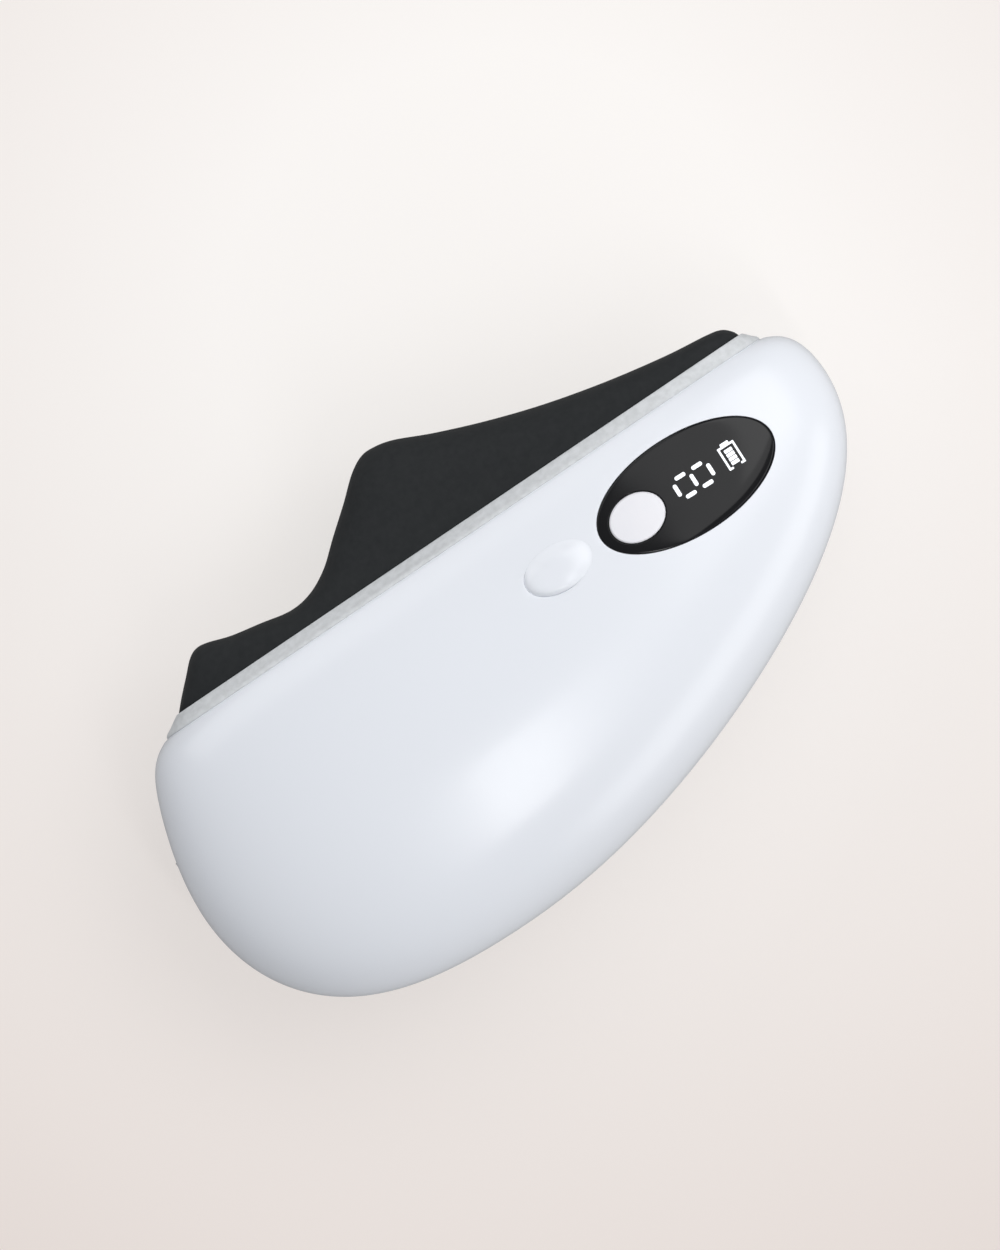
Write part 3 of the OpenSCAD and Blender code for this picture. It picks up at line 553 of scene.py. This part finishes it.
def stonePiece():
    edge = smoothCurve(stone["edge"], stone["steps"])
    last = len(edge) - 1

    def place(across, along):
        x, height = edge[round(along * last)]
        share = min(1, abs(x - stone["middle"]) / stone["halfL"])
        half = stone["halfW"] * (1 - share ** 4) ** 0.25
        turn = math.pi * across
        z = midZ - half * power(math.cos(turn), 2 / stone["round"])
        lift = height * abs(math.sin(turn)) ** (2 / stone["round"])
        return Vector((x * mm, stoneBase + lift * mm, z * mm))

    piece = gridPiece("stone", stone["across"], last, place, closed=False)
    bpy.ops.object.mode_set(mode="EDIT")
    bpy.ops.mesh.select_all(action="DESELECT")
    bpy.ops.mesh.select_mode(type="EDGE")
    bpy.ops.mesh.select_non_manifold()
    bpy.ops.mesh.edge_face_add()
    bpy.ops.mesh.select_all(action="SELECT")
    bpy.ops.mesh.normals_make_consistent(inside=False)
    bpy.ops.object.mode_set(mode="OBJECT")
    return piece


print("stage: stone")
stonePlate = stonePiece()
dress(stonePlate, stoneBlack)
smooth(stonePlate, 50)
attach(stonePlate, "housing")
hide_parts("stone_plate")

# Collar: rows go once round its section, (height over the shell's mouth, blend to the stone's outline, inset)

collar = dict(
    rows=(
        (-3.9, 0, 2.6), (-0.3, 0, 2.6), (-0.04, 0, 2.2), (-0.04, 0, 0.2), (0, 0, 0.1), (0.08, 0, 0.04),
        (0.25, 0.03, 0), (0.55, 0.12, 0), (0.8, 0.27, 0), (1.1, 0.45, 0), (1.4, 0.6, 0), (1.7, 0.75, 0),
        (1.95, 0.88, 0), (2.12, 0.96, 0.02), (2.24, 1.0, 0.08), (2.3, 1.0, 0.22), (2.3, 1.0, 1.6),
        (2.2, 1.0, 3.2), (-3.9, 1.0, 3.2),
    ),
    middle=2.5,
    halfL=56.5,
    halfW=13.2,
    topHalfL=54.0,
    topHalfW=11.0,
)


def collarPiece():
    rows = collar["rows"]

    def place(across, along):
        height, blend, inset = rows[round(along * len(rows)) % len(rows)]
        turn = 2 * math.pi * across
        boxy = 3.2 + 0.8 * blend
        u = power(math.cos(turn), 2 / boxy)
        x = collar["middle"] + (stone["middle"] - collar["middle"]) * blend
        halfL = collar["halfL"] + (collar["topHalfL"] - collar["halfL"]) * blend - inset
        halfW = collar["halfW"] + (collar["topHalfW"] - collar["halfW"]) * blend - inset
        z = midZ + halfW * power(math.sin(turn), 2 / boxy) * (1 - shell["lean"] * u * (1 - blend))
        return Vector(((x + halfL * u) * mm, (edgeY + height) * mm, z * mm))

    return gridPiece("collar", 240, len(rows), place)


print("stage: collar")
collarRing = collarPiece()
# the collar's darker grey is partly painted shade
dress(collarRing, bandPlasticPaintedShade)
smooth(collarRing, 40)
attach(collarRing, "housing")
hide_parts("stone_collar")


def crownedOval(name, look, height):
    # rings over the top, a rounded edge and a straight wall down to a flat base;
    # rows are (share of the half width, depth below the crown's own height)
    rows = [(k / look["rings"], 0) for k in range(1, look["rings"])]
    rows += [*look["edge"], (1, -look["deep"]), (0.98, -look["deep"])]

    def place(across, along):
        row = round(along * len(rows))
        turn = 2 * math.pi * across
        share, drop = (0, rows[0][1]) if row == 0 else rows[row - 1]
        if row == len(rows):
            share = 0
        px, pd = ovalSpot(look, turn, share)
        return spot(px, pd, frontHeight(px, pd) + height(turn, share) + drop)

    return gridPiece(name, look["count"], len(rows), place)


def lensHeight(turn, share):
    # nearly flat, rolling off only along the edge between the nose and the curved side
    facing = math.cos(turn - math.radians(panel["rollTurn"]))
    roll = easeIn((facing - panel["rollFrom"]) / panel["rollReach"])
    return panel["proud"] - (panel["droop"] + panel["roll"] * roll) * share ** 14


print("stage: panel")
lens = crownedOval("panelLens", panel, lensHeight)
cutAway(lens, [ovalPlug("cutKey", powerKey, 96)])
dress(lens, acrylic)
smooth(lens, 30)
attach(lens, "housing")
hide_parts("panel_lens")

# Lit strokes: places and sizes in mm along the panel and across it, from the panel's centre

litStroke = dict(thick=0.3, proud=0.04, rounding=0.92, segments=5)
digit = dict(along=1.5, tall=6.24, wide=3.35, stroke=0.66, side=1.9, bar=2.1)
sign = dict(
    along=8.55, across=0.1, wide=3.0, tall=3.95, line=0.35, nub=1.5, nubTall=0.62, foot=0.8,
    bar=1.4, barTall=0.6, pitch=0.7,
)


def pill(along, across, sizeAlong, sizeAcross, rounding=litStroke["rounding"]):
    # a flat stroke with rounded ends
    bpy.ops.object.select_all(action="DESELECT")
    bpy.ops.mesh.primitive_cube_add(size=1, location=(along, across, 0))
    bar = bpy.context.object
    bar.scale = (sizeAlong, sizeAcross, litStroke["thick"])
    settle(bar)
    selectEdges(bar, lambda a, b: abs(a.z - b.z) > 0.1)
    bpy.ops.mesh.bevel(offset=rounding * min(sizeAlong, sizeAcross) / 2, segments=litStroke["segments"])
    bpy.ops.object.mode_set(mode="OBJECT")
    return bar


def layOnLens(piece):
    applyModifier(piece, "TRIANGULATE", ngon_method="CLIP")
    bpy.ops.object.mode_set(mode="EDIT")
    bpy.ops.mesh.select_all(action="SELECT")
    bpy.ops.mesh.remove_doubles(threshold=0.0001)
    bpy.ops.mesh.subdivide(number_cuts=2)
    bpy.ops.object.mode_set(mode="OBJECT")
    for vertex in piece.data.vertices:
        px, pd = leaned(panel, vertex.co.x, vertex.co.y)
        lift = litStroke["proud"] + vertex.co.z - litStroke["thick"] / 2
        vertex.co = spot(px, pd, frontHeight(px, pd) + lift)
    return piece


def joined(parts, name):
    bpy.ops.object.select_all(action="DESELECT")
    for part in parts:
        part.select_set(True)
    bpy.context.view_layer.objects.active = parts[0]
    bpy.ops.object.join()
    piece = bpy.context.object
    piece.name = name
    return piece


def digitPiece():
    s = digit
    bars = [pill(s["along"] + k * s["tall"] / 2, 0, s["stroke"], s["bar"]) for k in (-1, 0, 1)]
    for k in (-1, 1):
        for side in (-1, 1):
            bars.append(pill(s["along"] + k * s["tall"] / 4, side * s["wide"] / 2, s["side"], s["stroke"]))
    return layOnLens(joined(bars, "litDigit"))


def batterySign():
    s = sign
    top = s["across"] + (s["tall"] - s["line"]) / 2
    outline = pill(s["along"], top, s["wide"], s["line"])
    rest = [pill(s["along"], top + s["nubTall"] / 2, s["nub"], s["nubTall"], 0.5)]
    for side in (-1, 1):
        rail = s["along"] + side * (s["wide"] - s["line"]) / 2
        foot = s["along"] + side * (s["wide"] - s["foot"]) / 2
        rest.append(pill(rail, s["across"], s["line"], s["tall"], 0.5))
        rest.append(pill(foot, 2 * s["across"] - top, s["foot"], s["line"], 0.5))
    for part in rest:
        applyModifier(outline, "BOOLEAN", operation="UNION", solver="EXACT", object=part)
        bpy.data.objects.remove(part)
    parts = [outline]
    for k in range(4):
        place = s["across"] + (k - 1.65) * s["pitch"]
        parts.append(pill(s["along"], place, s["bar"], s["barTall"], 0.3))
    return layOnLens(joined(parts, "litBatterySign"))


print("stage: lit strokes")
for piece in (digitPiece(), batterySign()):
    dress(piece, litWhite)
    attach(piece, "housing")
    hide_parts("light_guide")


def powerHeight(turn, share):
    return powerKey["proud"] + powerKey["dome"] * (1 - share * share)


def modeHeight(turn, share):
    # flat over the middle, steep down to the crease at the heel and melting into the face elsewhere
    crease = creaseShare(turn)
    fall = 1 - share * share
    dome = fall * fall * (1 + 2 * share * share)
    brow = crease * (3 + modeKey["steep"] * share * share) * share ** 4 * fall
    rise = 1 + modeKey["lean"] * share * math.cos(turn - math.radians(modeKey["leanTurn"]))
    return modeKey["proud"] * (dome + brow) * rise - modeKey["sink"] * crease * share ** 12


print("stage: keys")
powerCap = crownedOval("powerKey", powerKey, powerHeight)
dress(powerCap, keyPlastic)
smooth(powerCap, 40)
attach(powerCap, "power_key")
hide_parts("power_button")

modeCap = crownedOval("modeKey", modeKey, modeHeight)
dress(modeCap, plastic)
smooth(modeCap, 60)
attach(modeCap, "mode_key")
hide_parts("mode_button")


shellScrew = dict(
    head=2.1, thick=1.4, rounding=0.45, shank=1.08, long=9.0, slotL=2.4, slotW=0.5, slotDeep=0.8,
)


def crossScrew(name, x, depth, seat):
    # a pan head with a cross recess, facing down out of its counterbore
    look = shellScrew
    head, thick = look["head"] * mm, look["thick"] * mm
    place = spot(x, depth, seat - look["thick"] / 2)
    bpy.ops.object.select_all(action="DESELECT")
    bpy.ops.mesh.primitive_cylinder_add(vertices=48, radius=head, depth=thick, location=place)
    screw = bpy.context.object
    screw.name = name
    settle(screw)
    selectFaces(screw, lambda normal: normal.z < -0.9)
    bpy.ops.mesh.bevel(offset=look["rounding"] * mm, segments=4)
    selectFaces(screw, lambda normal: normal.z > 0.9)
    bpy.ops.mesh.inset(thickness=(look["head"] - look["shank"]) * mm)
    bpy.ops.mesh.extrude_region_move(TRANSFORM_OT_translate={"value": (0, 0, look["long"] * mm)})
    bpy.ops.object.mode_set(mode="OBJECT")
    low = spot(x, depth, seat - look["thick"])
    bars = []
    for sides in ((look["slotW"], look["slotL"]), (look["slotL"], look["slotW"])):
        bpy.ops.object.select_all(action="DESELECT")
        bpy.ops.mesh.primitive_cube_add(size=1, location=low)
        bar = bpy.context.object
        bar.scale = (sides[0] * mm, sides[1] * mm, look["slotDeep"] * 2 * mm)
        settle(bar)
        bars.append(bar)
    cutAway(screw, bars)
    return screw


print("stage: screws")
seat = counterbore["floor"]
screws = [crossScrew(f"shellScrew{k}", x, depth, seat) for k, (x, depth) in enumerate(screwSpots)]
shellScrews = joined(screws, "shellScrews")
dress(shellScrews, steel)
smooth(shellScrews, 30)
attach(shellScrews, "housing")
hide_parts("shell_screws")

# Pieces that keep their construction shape get their own finish

finishes = dict(
    heater_film=amberFilm, heater_pad=foam, heater_back_plate=framePlastic, plate_screws=steel,
    thermistor=darkPlastic, display_module=displayGrey, power_switch=darkPlastic, power_plunger=creamPlastic,
    mode_switch=darkPlastic, mode_plunger=creamPlastic, main_board=boardGreen, board_chips=darkPlastic,
    board_screws=steel, charge_board=boardGreen, charge_screws=steel, usb_socket=steel,
    battery_cell=cellSleeve, cell_tabs=steel, battery_cradle=framePlastic, cradle_screws=steel,
    cell_pads=foam, motor_can=steel, motor_clamp=framePlastic, motor_screws=steel, motor_shaft=steel,
    eccentric_weight=sinteredMetal, cell_leads=redLead, charge_leads=darkLead, motor_leads=blueLead,
    heater_leads=paleLead,
)
for name, material in finishes.items():
    dress(nodes[name], material)

# Floor, lights and camera

# The floor's colour holds a painted pool of light, lit at one spot and faded further out
stageLook = dict(
    floorSize=6.0, bounce=(0.46, 0.45, 0.44), paintedPoolLit=(0.975, 0.945, 0.92), paintedPoolFaded=(0.785, 0.705, 0.665),
    paintedPoolCentre=(0.026, 0.042), reach=(0.045, 0.185), glow=0.63, paper=0.4,
    worldLight=0.45, worldTone=(0.95, 0.97, 1.0),
)


def floorPiece():
    # the camera sees warm paper with a painted pool of light, lit at one spot and fading away from it; light
    # bounces off a greyer one
    look = stageLook
    bpy.ops.object.select_all(action="DESELECT")
    bpy.ops.mesh.primitive_plane_add(size=look["floorSize"], location=(0, 0, 0))
    floor = bpy.context.object
    floor.name = "studioFloor"
    material = newMaterial("floorPaper", look["bounce"], 0.9, Specular_IOR_Level=0.2)
    link = material.node_tree.links.new
    shader = material.node_tree.nodes["Principled BSDF"]
    output = material.node_tree.nodes["Material Output"]
    where = addNode(material, "ShaderNodeTexCoord")
    away = addNode(material, "ShaderNodeVectorMath")
    away.operation = "DISTANCE"
    away.inputs[1].default_value = (*look["paintedPoolCentre"], 0)
    # painted pool of light: the paper's colour falls from lit to faded with the distance from one spot
    paintedPoolFade = addNode(material, "ShaderNodeMapRange", From_Min=look["reach"][0], From_Max=look["reach"][1])
    ramp = addNode(material, "ShaderNodeValToRGB")
    ramp.color_ramp.elements[0].color = (*look["paintedPoolLit"], 1)
    ramp.color_ramp.elements[1].color = (*look["paintedPoolFaded"], 1)
    paper = addNode(material, "ShaderNodeBsdfDiffuse", Roughness=0.5)
    scaled = addNode(material, "ShaderNodeVectorMath")
    scaled.operation = "SCALE"
    scaled.inputs["Scale"].default_value = look["paper"]
    glow = addNode(material, "ShaderNodeEmission", Strength=look["glow"])
    both = addNode(material, "ShaderNodeAddShader")
    rays = addNode(material, "ShaderNodeLightPath")
    mix = addNode(material, "ShaderNodeMixShader")
    link(where.outputs["Object"], away.inputs[0])
    link(away.outputs["Value"], paintedPoolFade.inputs["Value"])
    link(paintedPoolFade.outputs["Result"], ramp.inputs["Fac"])
    link(ramp.outputs["Color"], scaled.inputs[0])
    link(scaled.outputs["Vector"], paper.inputs["Color"])
    link(ramp.outputs["Color"], glow.inputs["Color"])
    link(paper.outputs["BSDF"], both.inputs[0])
    link(glow.outputs["Emission"], both.inputs[1])
    link(rays.outputs["Is Camera Ray"], mix.inputs["Fac"])
    link(shader.outputs["BSDF"], mix.inputs[1])
    link(both.outputs["Shader"], mix.inputs[2])
    link(mix.outputs["Shader"], output.inputs["Surface"])
    dress(floor, material)
    return floor


def softbox(name, place, aim, size, watts, spin=0):
    bpy.ops.object.select_all(action="DESELECT")
    bpy.ops.object.light_add(type="AREA", location=place)
    lamp = bpy.context.object
    lamp.name = name
    lamp.data.shape = "RECTANGLE"
    lamp.data.size, lamp.data.size_y = size
    lamp.data.energy = watts
    lamp.rotation_euler = (Vector(aim) - Vector(place)).to_track_quat("-Z", "Y").to_euler()
    lamp.rotation_euler.z += math.radians(spin)
    return lamp


# Places and sizes in metres, powers in watts
lamps = dict(
    skyBox=dict(place=(0.815, 0.35, 1.0), aim=(0.815, 0.35, 0), size=(1.2, 1.6), watts=8.45, spin=5),
    noseBox=dict(place=(0.92, 0.4, 1.05), aim=(0.92, 0.4, 0), size=(0.75, 1.2), watts=2.6),
    stoneBox=dict(place=(-0.25, 0.95, 0.5), aim=(0, 0, 0.02), size=(1.2, 0.6), watts=2.6),
    rimBox=dict(place=(0.68, -0.86, 0.3), aim=(0, 0, 0.02), size=(1.3, 0.5), watts=3.6),
    keyBox=dict(place=(0.03, -0.55, 0.957), aim=(0, 0, 0.02), size=(0.09, 0.5), watts=1.3),
)

print("stage: studio")
floorPiece()
for name, lamp in lamps.items():
    softbox(name, **lamp)

world = bpy.data.worlds.new("studio")
bpy.context.scene.world = world
world.use_nodes = True
backdrop = world.node_tree.nodes["Background"]
backdrop.inputs["Color"].default_value = (*stageLook["worldTone"], 1)
backdrop.inputs["Strength"].default_value = stageLook["worldLight"]

# The camera looks straight down on the display; the straight edge rises to the right in the picture
view = dict(centre=(-0.33, 3.5), turn=34.05, away=3.0, frameTall=197.5, sensor=36.0)
cameraData = bpy.data.cameras.new("camera")
camera = bpy.data.objects.new("camera", cameraData)
bpy.context.scene.collection.objects.link(camera)
bpy.context.scene.camera = camera
cameraData.sensor_width = view["sensor"]
cameraData.lens = view["sensor"] * view["away"] / (view["frameTall"] * mm)
turn = math.radians(-view["turn"])
cx, cy = (c * mm for c in view["centre"])
camera.matrix_world = Matrix.Translation((cx, cy, midZ * mm + view["away"])) @ Matrix.Rotation(turn, 4, "Z")

scene = bpy.context.scene
scene.view_settings.view_transform = "Standard"

print("stage: finish")
